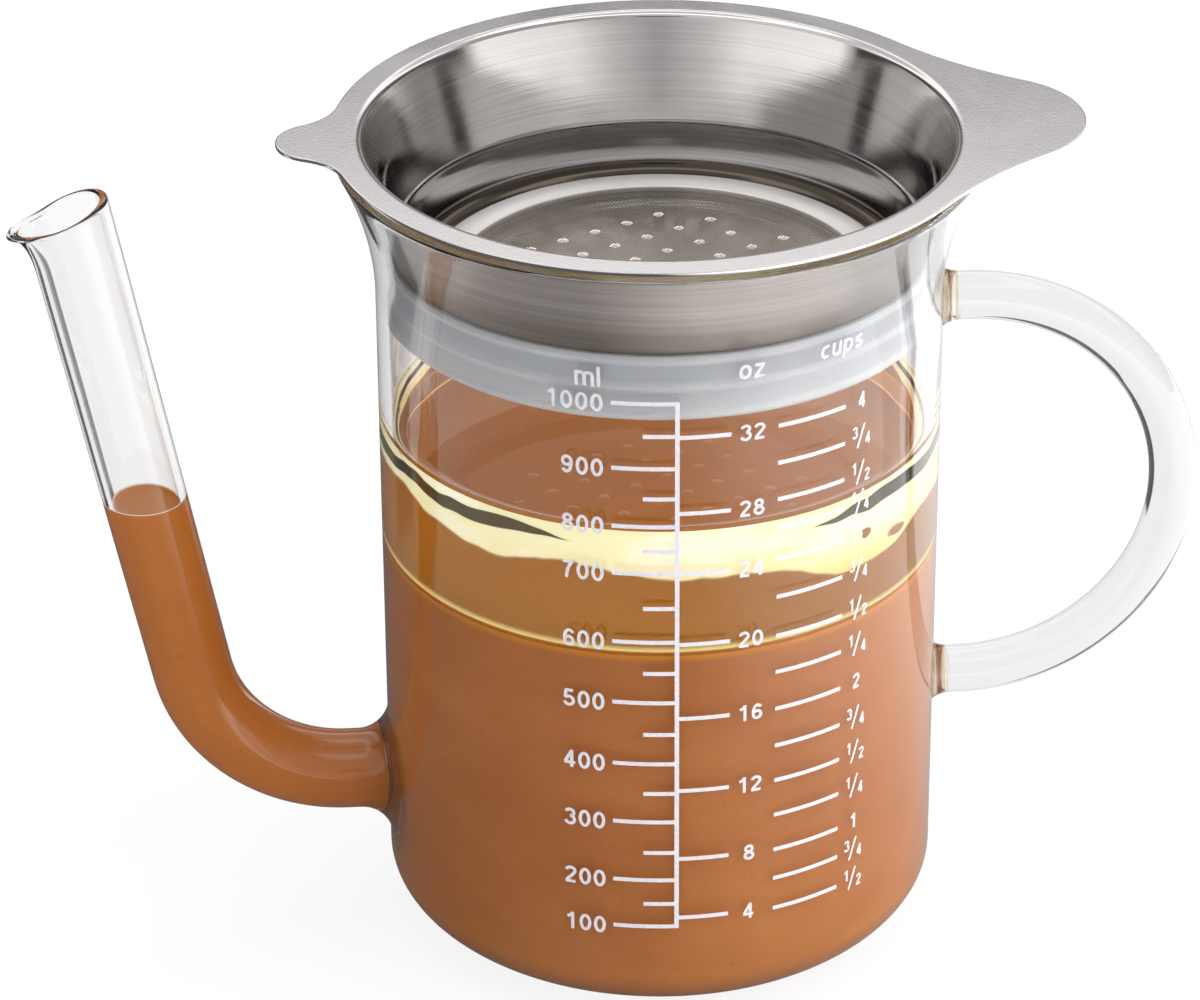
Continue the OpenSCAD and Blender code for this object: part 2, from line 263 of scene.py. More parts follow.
def new_material(name, colour, **plain):
    """A material with one Principled shader and its plain values; returns both and a writer."""
    mat = bpy.data.materials.new(name)
    mat.use_nodes = True
    mat.diffuse_color = colour
    nt = Nodes(mat.node_tree)
    shader = mat.node_tree.nodes["Principled BSDF"]
    shader.inputs["Base Color"].default_value = colour
    for key, value in plain.items():
        shader.inputs[key.replace("_", " ")].default_value = value
    return mat, nt, shader


def object_place(nt):
    return nt.add("ShaderNodeTexCoord").outputs["Object"]


def group(name, **numbers):
    """An empty surface effect: a place and named numbers in, roughness, height and tone out.
    Returns it, its writer and its two ends."""
    tree = bpy.data.node_groups.new(name, "ShaderNodeTree")
    tree.interface.new_socket("Vector", in_out="INPUT", socket_type="NodeSocketVector")
    for label, value in numbers.items():
        socket = tree.interface.new_socket(label, in_out="INPUT", socket_type="NodeSocketFloat")
        socket.default_value = value
    for label in ("Roughness", "Height", "Tone"):
        tree.interface.new_socket(label, in_out="OUTPUT", socket_type="NodeSocketFloat")
    nt = Nodes(tree)
    return tree, nt, nt.add("NodeGroupInput").outputs, nt.add("NodeGroupOutput").inputs


def turned_steel_group():
    """Lines left by turning: level streaks round the upright axis, and fine cloudy wear."""
    tree, nt, given, out = group("Turned steel", Streaks=1.0, Low=0.1, High=0.2)
    fine = nt.noise(nt.stretch(given["Vector"], (14, 14, 5200)), 1.0, 4.0, 0.6)
    broad = nt.noise(nt.stretch(given["Vector"], (9, 9, 900)), 1.0, 3.0, 0.55)
    cloud = nt.noise(given["Vector"], 70.0, 3.0)
    streak = nt.times_plus(fine, 0.6, nt.times(broad, 0.4))
    mixed = nt.times_plus(nt.minus(streak, 0.5), given["Streaks"], cloud)
    nt.link(nt.span(mixed, 0.3, 0.7, given["Low"], given["High"], smooth=False), out["Roughness"])
    nt.link(streak, out["Height"])
    nt.link(nt.span(streak, 0.35, 0.65), out["Tone"])
    return tree


def satin_group():
    """Fine, even grain of a blasted or rolled face, with a few soft smudges."""
    tree, nt, given, out = group("Satin grain", Size=3200.0, Low=0.3, High=0.4)
    grain = nt.noise(given["Vector"], given["Size"], 2.0)
    smudge = nt.noise(given["Vector"], 38.0, 4.0, 0.6, 0.6)
    nt.link(nt.span(smudge, 0.35, 0.7, given["Low"], given["High"], smooth=False), out["Roughness"])
    nt.link(grain, out["Height"])
    nt.link(smudge, out["Tone"])
    return tree


TURNED, SATIN = turned_steel_group(), satin_group()


def glass_material(name, tint, edge, wave=0.2, joints=False):
    mat, nt, shader = new_material(name, tint, Roughness=0.0, IOR=1.48, Transmission_Weight=1.0)
    # Painted shade: the glass's colour darkens where it is looked along, giving it dark painted outlines
    facing = nt.add("ShaderNodeLayerWeight", {"Blend": 0.5}).outputs["Facing"]
    colour = nt.blend(nt.math("POWER", facing, 7.0), tint, edge)
    if joints:  # painted reflection: brown stripes stand in for gravy and steel seen in the flared ends
        place = object_place(nt)
        stripes = nt.noise(nt.stretch(place, (900, 60, 90)), 1.0, 2.0, 0.5, 0.4)
        brown = nt.blend(nt.span(stripes, 0.42, 0.55), (0.56, 0.44, 0.30, 1), (0.94, 0.88, 0.76, 1))
        colour = nt.blend(nt.span(nt.split(place)[0], 0.0572, 0.0562), colour, brown)
    nt.link(colour, shader.inputs["Base Color"])
    # Soft unevenness of blown glass
    swell = nt.noise(nt.stretch(object_place(nt), (26, 26, 15)), 1.0, 2.0)
    nt.link(nt.bump(swell, wave, 0.002), shader.inputs["Normal"])
    return mat


def gravy_material(name, colour, light, painted_lit_top=None, lip=None):
    mat, nt, shader = new_material(name, colour, Roughness=0.42, IOR=1.38,
                                   Subsurface_Weight=0.35, Subsurface_Scale=0.004)
    shader.inputs["Subsurface Radius"].default_value = (1.0, 0.6, 0.3)
    place = object_place(nt)
    cloud = nt.noise(nt.stretch(place, (20, 20, 30)), 1.0, 4.0, 0.6, 0.8)
    speck = nt.noise(place, 900.0, 2.0)
    base = nt.blend(nt.span(cloud, 0.25, 0.8), colour, light)
    if painted_lit_top:  # painted light: the top of the gravy is painted paler, standing in for light that reaches it through the fat
        base = nt.blend(nt.span(nt.split(place)[2], 0.0800, 0.0819), base, painted_lit_top)
    base = nt.blend(nt.span(speck, 0.66, 0.8, 0.0, 0.35), base, srgb(118, 66, 34))
    if lip:  # the thin film drawn up the glass is paler, and a near-white painted highlight on it stands in for light in the meniscus
        base = nt.blend(nt.span(nt.split(place)[2], lip, lip + 0.0001), base, srgb(255, 244, 226))
    nt.link(base, shader.inputs["Base Color"])
    return mat


def steel_funnel_material():
    mat, nt, shader = new_material("Satin and polished steel", srgb(206, 202, 200), Metallic=1.0, Roughness=0.3)
    place = object_place(nt)
    x, y, height = nt.split(place)
    # The flat flange is satin, and the rolled edge and cone are polished by turning
    flat = nt.span(height, 0.16435, 0.16445)
    satin = nt.grain(SATIN, place, Low=0.1, High=0.16)
    turned = nt.grain(TURNED, place, Low=0.05, High=0.15, Streaks=0.7)
    # The back of the cone keeps the duller finish of the sheet, and painted shade makes it darker and warmer
    # towards its bottom
    face_r = nt.times_plus(nt.minus(height, CONE_Z * MM), tan(CONE_LEAN), CUP_R * MM)
    back = nt.times(nt.span(nt.minus(nt.length(x, y), face_r), 0.0003, 0.0006),
                    nt.span(height, 0.1636, 0.1634))
    polished = nt.blend(turned["Tone"], srgb(206, 203, 201), srgb(222, 219, 217))
    dull = nt.blend(satin["Tone"], srgb(208, 203, 204), srgb(224, 220, 220))
    # Painted shade on the back of the cone: darker low down, lighter near the flange
    low = nt.blend(turned["Tone"], srgb(125, 112, 100), srgb(145, 132, 120))
    top = nt.blend(turned["Tone"], srgb(170, 160, 152), srgb(191, 182, 175))
    tone = nt.blend(back, nt.blend(flat, polished, dull), nt.blend(nt.span(height, 0.1440, 0.1535), low, top))
    nt.link(tone, shader.inputs["Base Color"])
    rough = nt.mix(flat, turned["Roughness"], satin["Roughness"])
    nt.link(nt.times_plus(back, 0.28, rough), shader.inputs["Roughness"])
    lift = nt.mix(flat, turned["Height"], satin["Height"])
    nt.link(nt.bump(lift, 0.05, 0.0002), shader.inputs["Normal"])
    return mat


def steel_cup_material():
    mat, nt, shader = new_material("Drawn cup steel", srgb(176, 173, 170), Metallic=1.0, Roughness=0.25)
    place = object_place(nt)
    turned = nt.grain(TURNED, place, Low=0.05, High=0.12)
    nt.link(turned["Roughness"], shader.inputs["Roughness"])
    tone = nt.blend(turned["Tone"], srgb(160, 159, 160), srgb(182, 181, 181))
    # Painted light: the punched edges of the drain holes are painted bright and made to glow, standing in for
    # light seen through the holes
    x, y, z = nt.split(place)
    radius = nt.length(x, y)
    top, bottom = (SEAT_Z - 1.2) * MM, (SEAT_Z - 1.2 - CUP_T) * MM
    edge = nt.times(nt.span(z, top - 0.00002, top - 0.00005), nt.span(z, bottom + 0.00002, bottom + 0.00005))
    edge = nt.times(edge, nt.math("LESS_THAN", radius, 0.0335))
    # Painted shade in the rounded corner where the cup's wall meets its floor
    painted_corner_shade = nt.times(nt.span(z, 0.1368, 0.1352), nt.span(radius, 0.0440, 0.0452))
    tone = nt.blend(painted_corner_shade, tone, srgb(84, 76, 68))
    nt.link(nt.blend(edge, tone, srgb(246, 240, 236)), shader.inputs["Base Color"])
    nt.link(nt.blend(edge, (0, 0, 0, 1), srgb(240, 234, 230)), shader.inputs["Emission Color"])
    shader.inputs["Emission Strength"].default_value = 1.5
    nt.link(nt.bump(turned["Height"], 0.06, 0.0002), shader.inputs["Normal"])
    return mat


def steel_ring_material():
    mat, nt, shader = new_material("Pressed ring steel", srgb(250, 247, 244), Metallic=1.0, Roughness=0.35)
    satin = nt.grain(SATIN, object_place(nt), Size=2400.0, Low=0.45, High=0.58)
    nt.link(satin["Roughness"], shader.inputs["Roughness"])
    nt.link(nt.bump(satin["Height"], 0.1, 0.0002), shader.inputs["Normal"])
    return mat


def mesh_material():
    """Plain weave of fine steel wire, open between the wires."""
    mat, nt, shader = new_material("Woven steel mesh", srgb(168, 160, 150), Metallic=1.0, Roughness=0.38)
    place = nt.stretch(object_place(nt), (1, 1, 1), turn=(0, 0, radians(38)))
    x, y, _ = nt.split(place)
    pitch = 0.00054
    wire_x = nt.math("COSINE", nt.times(x, 2 * pi / pitch))
    wire_y = nt.math("COSINE", nt.times(y, 2 * pi / pitch))
    over = nt.larger(wire_x, wire_y)
    # Which of the two wires is on top changes from crossing to crossing
    sway = nt.times(nt.math("COSINE", nt.times(x, pi / pitch)),
                   nt.math("COSINE", nt.times(y, pi / pitch)))
    nt.link(nt.span(over, 0.0, 0.55, 0.04, 0.97), shader.inputs["Alpha"])
    dull = nt.noise(place, 55.0, 3.0)
    tone = nt.blend(nt.span(dull, 0.3, 0.7), srgb(150, 140, 128), srgb(180, 170, 158))
    nt.link(tone, shader.inputs["Base Color"])
    nt.link(nt.bump(nt.times_plus(sway, 0.25, over), 0.25, 0.0001), shader.inputs["Normal"])
    return mat


def silicone_material():
    mat, nt, shader = new_material("Milky silicone", srgb(236, 235, 236), Roughness=0.42, IOR=1.41,
                                   Transmission_Weight=0.2, Subsurface_Weight=0.3, Subsurface_Scale=0.003)
    place = object_place(nt)
    cloud = nt.noise(nt.stretch(place, (30, 30, 60)), 1.0, 3.0)
    milk = nt.blend(nt.span(cloud, 0.3, 0.7), srgb(234, 233, 235), srgb(246, 245, 245))
    # Painted shade in the grooves between its three ribs, deeper towards the top, under the steel
    z = nt.split(place)[2]
    rib = nt.math("COSINE", nt.times(nt.minus(z, (GASKET_Z + 0.9) * MM), 2 * pi / 0.00558))
    shade = nt.times(nt.span(rib, 0.75, 0.1), nt.span(z, 0.1310, 0.1318))
    milk = nt.blend(nt.times(shade, nt.span(z, 0.131, 0.143, 0.35, 0.8)), milk, srgb(190, 194, 202))
    nt.link(milk, shader.inputs["Base Color"])
    nt.link(nt.span(nt.noise(place, 500.0, 2.0), 0.3, 0.7, 0.36, 0.5), shader.inputs["Roughness"])
    return mat


def fat_material():
    mat, nt, shader = new_material("Clear fat", srgb(255, 250, 226), Roughness=0.0, IOR=1.46,
                                   Transmission_Weight=1.0)
    shader.inputs["Specular Tint"].default_value = (0.8, 0.55, 0.2, 1)
    nt.link(nt.add("ShaderNodeVolumeAbsorption", {"Color": srgb(250, 232, 110), "Density": 16.0}).outputs[0],
            mat.node_tree.nodes["Material Output"].inputs["Volume"])
    return mat


def fat_glow_material():
    """Painted light on a sheet in the edge of the fat, standing in for light caught there: a pale, glowing,
    wavy band under its surface with a few painted dark streaks, and a thin bright line where it meets the
    gravy. Clear elsewhere."""
    pale = srgb(244, 240, 204)
    mat, nt, shader = new_material("Light in the fat's edge", pale, Roughness=0.3, Emission_Strength=0.7)
    place = object_place(nt)
    x, y, z = nt.split(place)
    high = nt.times(z, 1000.0)
    # The band's lower edge hangs in broad lobes, with a few clear drops inside
    lobes = nt.noise(nt.stretch(place, (30, 30, 3), shift=(0.37, 0.1, 0)), 1.0, 0.0)
    ripple = nt.noise(nt.stretch(place, (90, 90, 26)), 1.0, 2.0, 0.45)
    edge = nt.times_plus(lobes, -18.0, nt.times_plus(ripple, -4.0, 108.6))
    band = nt.span(nt.minus(high, edge), -0.5, 0.5)
    drops = nt.noise(nt.stretch(place, (85, 85, 130)), 1.0, 1.0, 0.5, 0.7)
    band = nt.times(band, nt.span(drops, 0.72, 0.67))
    # Painted highlight: a thin bright line where the fat meets the gravy
    line = nt.times(nt.span(high, 81.9, 82.5), nt.span(high, 84.0, 82.6))
    shown = nt.larger(nt.times(band, 0.97), nt.times(line, 0.8))
    # Painted dark streaks, standing in for dark reflections, lie to the two sides, close under the surface
    across = nt.towards(x, y, FACE + 90)
    flow = nt.noise(nt.stretch(place, (46, 46, 30), shift=(0, 0.2, 0)), 1.0, 2.0, 0.5, 0.5)
    middle = nt.times_plus(flow, 4.5, 102.6)
    reach = nt.larger(nt.span(across, -0.012, -0.03, 0.0, 1.5), nt.span(across, 0.024, 0.04, 0.0, 1.7))
    streak = nt.span(nt.minus(reach, nt.size(nt.minus(high, middle))), 0.0, 0.35)
    streak = nt.times(streak, nt.span(reach, 0.05, 0.3))
    shown = nt.larger(shown, nt.times(streak, 0.93))
    warm = nt.noise(nt.stretch(place, (40, 40, 120)), 1.0, 2.0)
    bright = nt.blend(nt.span(warm, 0.42, 0.58), pale, srgb(252, 252, 238))
    deep = nt.blend(nt.span(high, 92.0, 104.0), srgb(238, 216, 146), bright)
    tone = nt.blend(streak, deep, srgb(40, 36, 14))
    # Little of its light is left where the glass wall has led it up to the rim
    led = nt.math("GREATER_THAN", nt.add("ShaderNodeLightPath").outputs["Glossy Depth"], 6.5)
    tone = nt.blend(led, tone, nt.blend(0.72, tone, srgb(20, 20, 22)))
    nt.link(tone, shader.inputs["Base Color"])
    nt.link(tone, shader.inputs["Emission Color"])
    nt.link(shown, shader.inputs["Alpha"])
    return mat


def print_material():
    mat, nt, shader = new_material("White enamel print", srgb(240, 239, 240), Roughness=0.5)
    place = object_place(nt)
    thin = nt.noise(place, 1400.0, 3.0)
    tone = nt.blend(nt.span(thin, 0.3, 0.7), srgb(200, 198, 204), srgb(214, 212, 217))
    nt.link(tone, shader.inputs["Base Color"])
    return mat


GLASS = glass_material("Blown glass", (0.975, 0.975, 0.985, 1), (0.45, 0.45, 0.5, 1))
SPOUT_GLASS = glass_material("Drawn tube glass", (0.965, 0.965, 0.97, 1), (0.16, 0.16, 0.18, 1), 0.1)
ROD_GLASS = glass_material("Rod glass", (0.875, 0.875, 0.89, 1), (0.06, 0.06, 0.1, 1), 0.12, joints=True)
GRAVY = gravy_material("Gravy", srgb(188, 116, 52), srgb(203, 132, 68), srgb(232, 150, 32))
SPOUT_GRAVY = gravy_material("Gravy in the spout", srgb(200, 121, 46), srgb(206, 128, 54), lip=0.09115)
FAT = fat_material()
FAT_GLOW = fat_glow_material()
PRINT = print_material()
FUNNEL_STEEL = steel_funnel_material()
CUP_STEEL = steel_cup_material()
RING_STEEL = steel_ring_material()
MESH_STEEL = mesh_material()
SILICONE = silicone_material()


# ---------- Jug ----------

def flare_at(s, inset):
    slope = atan(2 * (FLARE_END[0] - JUG_R) * s / FLARE_H)
    return (JUG_R + (FLARE_END[0] - JUG_R) * s * s - inset * cos(slope),
            FLARE_Z + FLARE_H * s + inset * sin(slope))


def wall_side(corner_w, corner_h, inset, steps=24):
    """One face of the wall from the middle of the base up to the rim."""
    base = CORNER_H - corner_h
    points = [(0, base), (12, base), (24, base)]
    for i in range(steps + 1):
        a = radians(90 * i / steps)
        points.append((JUG_R - CORNER_W + corner_w * sin(a), CORNER_H - corner_h * cos(a)))
    points += [(JUG_R - inset, z) for z in (22, 32, 42, 56, 70, 84, 98, 112, 124)]
    points += [flare_at(i / steps, inset) for i in range(steps + 1)]
    return points


def make_jug():
    outer = wall_side(CORNER_W, CORNER_H, 0)
    inner = wall_side(CORNER_W - WALL, CORNER_H - BASE_T, WALL)
    rim = arc(RIM_MAX_R - RIM_R, JUG_H - RIM_R, RIM_R, -26, 154, 20)[1:-1]
    bm = bmesh.new()
    lathe(bm, outer + rim + inner[::-1], 192)
    jug = piece("glass_jug", bm, "jug", GLASS, ["jug_body"])
    hole = bmesh.new()
    bmesh.ops.create_cone(hole, cap_ends=True, segments=48, radius1=7.0, radius2=7.0, depth=10,
                          matrix=Matrix.Translation((-JUG_R + 1, 0, SPOUT_Z)) @ Matrix.Rotation(pi / 2, 4, "Y"))
    cut(jug, hole)


def inner_wall(top, grow=WET):
    """Outline of the jug's bore, from the middle of its floor up to a height."""
    points = []
    for r, z in wall_side(CORNER_W - WALL, CORNER_H - BASE_T, WALL):
        if z > top - 3:
            break
        points.append((r, z))
    out = []
    for i, (r, z) in enumerate(points):
        a, b = points[max(i - 1, 0)], points[min(i + 1, len(points) - 1)]
        dx, dz = b[0] - a[0], b[1] - a[1]
        n = hypot(dx, dz) or 1
        out.append((max(r + grow * dz / n, 0) if r > 0 else 0, z - grow * dx / n))
    return out


def meniscus(r, z, rise, reach, steps=10):
    """The top of a liquid from the wall to the middle, drawn up a little where it wets the glass."""
    points = [(r, z + rise)]
    for i in range(1, steps + 1):
        s = i / steps
        points.append((r - reach * s, z + rise * (1 - s) ** 2.2))
    return points + [(r * 0.6, z), (r * 0.3, z), (0, z)]


def make_contents():
    r = BORE_R + WET
    bm = bmesh.new()
    lathe(bm, inner_wall(GRAVY_Z) + [(r, GRAVY_Z - 0.6)] + meniscus(r, GRAVY_Z, 0.5, 2.2))
    piece("gravy", bm, "jug", GRAVY)
    bm = bmesh.new()
    low = GRAVY_Z - 0.3
    lathe(bm, [(0, low), (r * 0.5, low), (r, low), (r, 90), (r, 100), (r, FAT_Z - 1)]
          + meniscus(r, FAT_Z, 0.9, 3.2))
    piece("fat_layer", bm, "jug", FAT)
    # A thin sheet just inside the glass carries the painted light in the fat's edge
    bm = bmesh.new()
    lathe(bm, [(BORE_R - 0.05, z) for z in (81.6, 88, 94, 100, 104, FAT_Z - 0.1)])
    piece("fat_edge_light", bm, "jug", FAT_GLOW)


# ---------- Spout ----------

ROOT, TURN = BEND_X - JUG_R, BEND_R * BEND_ANGLE  # lengths of the spout before its bend and in it
LEG_START = ROOT + TURN
SPOUT_END = LEG_START + LEG_LEN


def spout_frame(s):
    """The spout's centre line s millimetres from the jug's wall: its place, the way along it, and
    the way out, which is away from the jug, or down at the root."""
    a = min(max((s - ROOT) / BEND_R, 0.0), BEND_ANGLE)
    along, out = Vector((-cos(a), 0, sin(a))), Vector((-sin(a), 0, -cos(a)))
    bend = Vector((-BEND_X - BEND_R * sin(a), 0, SPOUT_Z + BEND_R * (1 - cos(a))))
    return bend + along * (s - ROOT - BEND_R * a), along, out


def spout_ring(s, r, sides, shape=None):
    """A ring round the spout; shape gives (radius, height along the tube) at a turn from the lip's tip."""
    centre, along, out = spout_frame(s)
    ring = []
    for t in turns_of(sides):
        rr, lift = shape(t) if shape else (r, 0.0)
        ring.append(centre + out * rr * cos(t) + Vector((0, rr * sin(t), 0)) + along * lift)
    return ring


def lip_shape(base_r, s, up=0.0):
    def shape(t):
        share = max(0.0, cos(t)) ** 7
        return (base_r + LIP_OUT * share * s ** 2.4,
                s * (LIP_H + LIP_DROP / 2 * (1 - s) - LIP_DROP * s * (1 + cos(t)) / 2) + up)
    return shape


def leg_radius(s, root_r, end_r):
    """The tube widens evenly from the bend to the start of the lip."""
    k = min(max((s - LEG_START) / (LEG_LEN - LIP_H), 0), 1)
    return root_r + (end_r - root_r) * k


def make_spout():
    sides, lip_s = 72, SPOUT_END - LIP_H
    turns = turns_of(sides)
    stations = [3, 6, ROOT] + [ROOT + TURN * i / 26 for i in range(1, 27)]
    stations += [LEG_START + (lip_s - LEG_START) * i / 12 for i in range(1, 12)]

    def on_wall(rho, lift, deep=0.0):
        """A ring round the root that follows the jug's wall."""
        ring = []
        for t in turns:
            y, z = rho * sin(t), SPOUT_Z - rho * cos(t)
            ring.append(Vector((-sqrt((JUG_R - deep) ** 2 - y * y) - lift, y, z)))
        return ring

    def lip_ring(base_r, s, up=0.0):
        return spout_ring(lip_s, 0, sides, lip_shape(base_r, s, up))

    def leg_rings(root_r, end_r, places):
        return [spout_ring(s, leg_radius(s, root_r, end_r), sides) for s in places]

    # Root: the tube runs through the wall, then a hollow weld spreads onto the wall's outer face
    rings = [on_wall(SPOUT_R + wide, 0, deep) for wide, deep in ((0, WALL + 0.02), (0, 1.3), (WELD_R, 0.9))]
    for i in range(13):
        a = radians(96 - 96 * i / 12)
        rings.append(on_wall(SPOUT_R + WELD_R - WELD_R * cos(a), WELD_R - 0.12 - WELD_R * sin(a)))
    rings += leg_rings(SPOUT_R, MOUTH_R, [s for s in stations if s > WELD_R + 0.5])
    rings += [lip_ring(MOUTH_R, i / 12) for i in range(12)]
    # Fire-polished rim, rounded over from the outer face to the bore
    half = (MOUTH_R - MOUTH_BORE) / 2
    rings.append(lip_ring(MOUTH_R, 1.0, -half * 0.9))
    for i in range(1, 8):
        a = pi * i / 8
        rings.append(lip_ring(MOUTH_R - half + half * cos(a), 1.0, half * 0.9 * (sin(a) - 1)))
    rings.append(lip_ring(MOUTH_BORE, 1.0, -half * 0.9))
    rings += [lip_ring(MOUTH_BORE, i / 12) for i in range(11, -1, -1)]
    rings += leg_rings(SPOUT_BORE, MOUTH_BORE, stations[::-1])
    rings += [on_wall(SPOUT_BORE, 0), on_wall(SPOUT_BORE, 0, WALL + 0.02)]
    bm = bmesh.new()
    loft(bm, rings, joined=True)
    piece("glass_spout", bm, "jug", SPOUT_GLASS, ["pouring_spout"])
    # Gravy drawn into the spout, up to its own level
    wet = SPOUT_BORE + WET
    rings = [[Vector((-BORE_R + 3, wet * sin(t), SPOUT_Z - wet * cos(t))) for t in turns]]
    filled = [s for s in [0] + stations if spout_frame(s)[0].z < SPOUT_LEVEL - 6]
    rings += leg_rings(wet, MOUTH_BORE + WET, filled)
    centre, along, out = spout_frame(filled[-1])
    top_r = leg_radius(filled[-1] + 8, SPOUT_BORE, MOUTH_BORE) + WET
    for reach, rise in ((1.0, 0.7), (0.93, 0.3), (0.84, 0.08), (0.7, 0.0), (0.4, 0.0)):
        ring = []
        for t in turns:
            p = centre + (out * cos(t) + Vector((0, sin(t), 0))) * top_r * reach
            ring.append(p + along * ((SPOUT_LEVEL + rise - p.z) / along.z))
        rings.append(ring)
    bm = bmesh.new()
    loft(bm, rings)
    piece("spout_gravy", bm, "jug", SPOUT_GRAVY)


# ---------- Handle ----------

def make_handle():
    turns = turns_of(64)
    fillet = (COLLAR_LEN ** 2 + (COLLAR_R - ROD_R) ** 2) / (2 * (COLLAR_R - ROD_R))

    def end_rings(z, sign):
        """Rings from inside the wall out to the rod, round the hollow of the weld."""
        sizes = [(ROD_R, -1.4), (COLLAR_R - 0.3, -1.4), (COLLAR_R, -1.0), (COLLAR_R, -0.4)]
        for i in range(9):
            lift = COLLAR_LEN * i / 8
            sizes.append((ROD_R + fillet - sqrt(fillet ** 2 - (COLLAR_LEN - lift) ** 2), lift))
        return [[Vector((sqrt(JUG_R ** 2 - (rho * sin(t)) ** 2) + lift, rho * sin(t), z - sign * rho * cos(t)))
                 for t in turns] for rho, lift in sizes]

    rings = end_rings(HANDLE_Z - BOW_R, 1)
    steps = 72
    for i in range(steps + 1):
        a = -pi / 2 + pi * i / steps
        centre = Vector((BOW_X + BOW_R * cos(a), 0, HANDLE_Z + BOW_R * sin(a)))
        out = Vector((cos(a), 0, sin(a)))
        rings.append([centre + out * ROD_R * cos(t) + Vector((0, ROD_R * sin(t), 0)) for t in turns])
    rings += end_rings(HANDLE_Z + BOW_R, -1)[::-1]
    bm = bmesh.new()
    loft(bm, rings)
    piece("glass_handle", bm, "jug", ROD_GLASS, ["handle"])


# ---------- Printed scale ----------

def wrap(bm):
    """Bends flat artwork round the jug: x runs along the wall, and y up it and out with its flare."""
    for v in bm.verts:
        a = radians(FACE) + v.co.x / JUG_R
        flared = max(0.0, (v.co.y - FLARE_Z) / FLARE_H)
        r = JUG_R + (FLARE_END[0] - JUG_R) * flared ** 2 + 0.03
        v.co = (r * cos(a), r * sin(a), v.co.y)


def bar(bm, x0, x1, y0, y1):
    """A stroke of print, in short lengths so that it bends with the wall."""
    count = max(1, int((x1 - x0) / 1.2))
    made = bmesh.ops.create_grid(bm, x_segments=count, y_segments=1, size=0.5)["verts"]
    bmesh.ops.scale(bm, vec=(x1 - x0, y1 - y0, 1), verts=made)
    bmesh.ops.translate(bm, vec=((x0 + x1) / 2, (y0 + y1) / 2, 0), verts=made)


# Centre lines of the figures, in a box 0.56 wide and 1 high
FIGURES = {
    "0": [oval_arc(0.28, 0.5, 0.195, 0.415, 0, 360, 30)],
    "1": [[(0.345, 0.0), (0.345, 1.0)], [(0.10, 0.745), (0.20, 0.775), (0.28, 0.85), (0.33, 0.96)]],
    "2": [oval_arc(0.275, 0.715, 0.195, 0.2, 172, -32) + [(0.30, 0.41), (0.13, 0.2), (0.085, 0.06)],
          [(0.04, 0.085), (0.49, 0.085)]],
    "3": [oval_arc(0.265, 0.725, 0.18, 0.19, 165, -90), oval_arc(0.27, 0.31, 0.2, 0.225, 90, -168)],
    "4": [[(0.37, 0.0), (0.37, 1.0)], [(0.36, 0.95), (0.07, 0.30)], [(0.03, 0.275), (0.53, 0.275)]],
    "5": [[(0.46, 0.915), (0.12, 0.915)], [(0.15, 0.95), (0.095, 0.47)],
          [(0.10, 0.50)] + oval_arc(0.265, 0.325, 0.205, 0.24, 128, -165)],
    "6": [oval_arc(0.285, 0.31, 0.185, 0.225, 0, 360, 26), oval_arc(0.31, 0.47, 0.21, 0.44, 196, 42)],
    "7": [[(0.05, 0.915), (0.51, 0.915)], [(0.47, 0.93), (0.34, 0.68), (0.25, 0.38), (0.21, 0.0)]],
    "8": [oval_arc(0.28, 0.735, 0.16, 0.18, 0, 360, 24), oval_arc(0.28, 0.29, 0.195, 0.205, 0, 360, 26)],
    "9": [oval_arc(0.275, 0.69, 0.185, 0.225, 0, 360, 26), oval_arc(0.25, 0.53, 0.21, 0.44, 16, -138)],
    "/": [[(0.0, -0.02), (0.40, 1.04)]],
    "m": [[(0.08, 0.0), (0.08, 0.72)], oval_arc(0.255, 0.47, 0.175, 0.18, 180, 0) + [(0.43, 0.0)],
          oval_arc(0.605, 0.47, 0.175, 0.18, 180, 0) + [(0.78, 0.0)]],
    "l": [[(0.08, 0.0), (0.08, 1.0)]],
    "o": [oval_arc(0.28, 0.36, 0.2, 0.285, 0, 360, 26)],
    "z": [[(0.03, 0.645), (0.45, 0.645)], [(0.40, 0.62), (0.08, 0.1)], [(0.02, 0.075), (0.47, 0.075)]],
    "c": [oval_arc(0.27, 0.36, 0.19, 0.285, 48, 312, 22)],
    "u": [[(0.08, 0.72), (0.08, 0.26)] + oval_arc(0.255, 0.26, 0.175, 0.19, 180, 360),
          [(0.43, 0.72), (0.43, 0.0)]],
    "p": [[(0.08, -0.26), (0.08, 0.72)], oval_arc(0.285, 0.36, 0.2, 0.285, 0, 360, 26)],
    "s": [oval_arc(0.245, 0.515, 0.155, 0.135, 30, 270, 16),
          oval_arc(0.245, 0.215, 0.17, 0.145, 88, -150, 16)],
}
WIDTHS = {"m": 0.86, "l": 0.16, "c": 0.5, "z": 0.49, "u": 0.51, "s": 0.46}


def stroke(bm, points, width):
    """A flat stroke along a line, widened from a short edge that is extruded point by point."""
    closed = hypot(points[0][0] - points[-1][0], points[0][1] - points[-1][1]) < 1e-6
    edge = None
    for i, (x, y) in enumerate(points):
        before = points[i - 1] if i else (points[-2] if closed else (x, y))
        after = points[i + 1] if i + 1 < len(points) else (points[1] if closed else (x, y))
        dx, dy = after[0] - before[0], after[1] - before[1]
        n = hypot(dx, dy)
        off = (-dy / n * width / 2, dx / n * width / 2)
        place = [(x + off[0], y + off[1], 0), (x - off[0], y - off[1], 0)]
        if edge is None:
            pair = [bm.verts.new(p) for p in place]
            edge = bm.edges.new(pair)
        else:
            pair = follow(bm, pair, [edge], place)
            edge = bm.edges.get(pair)


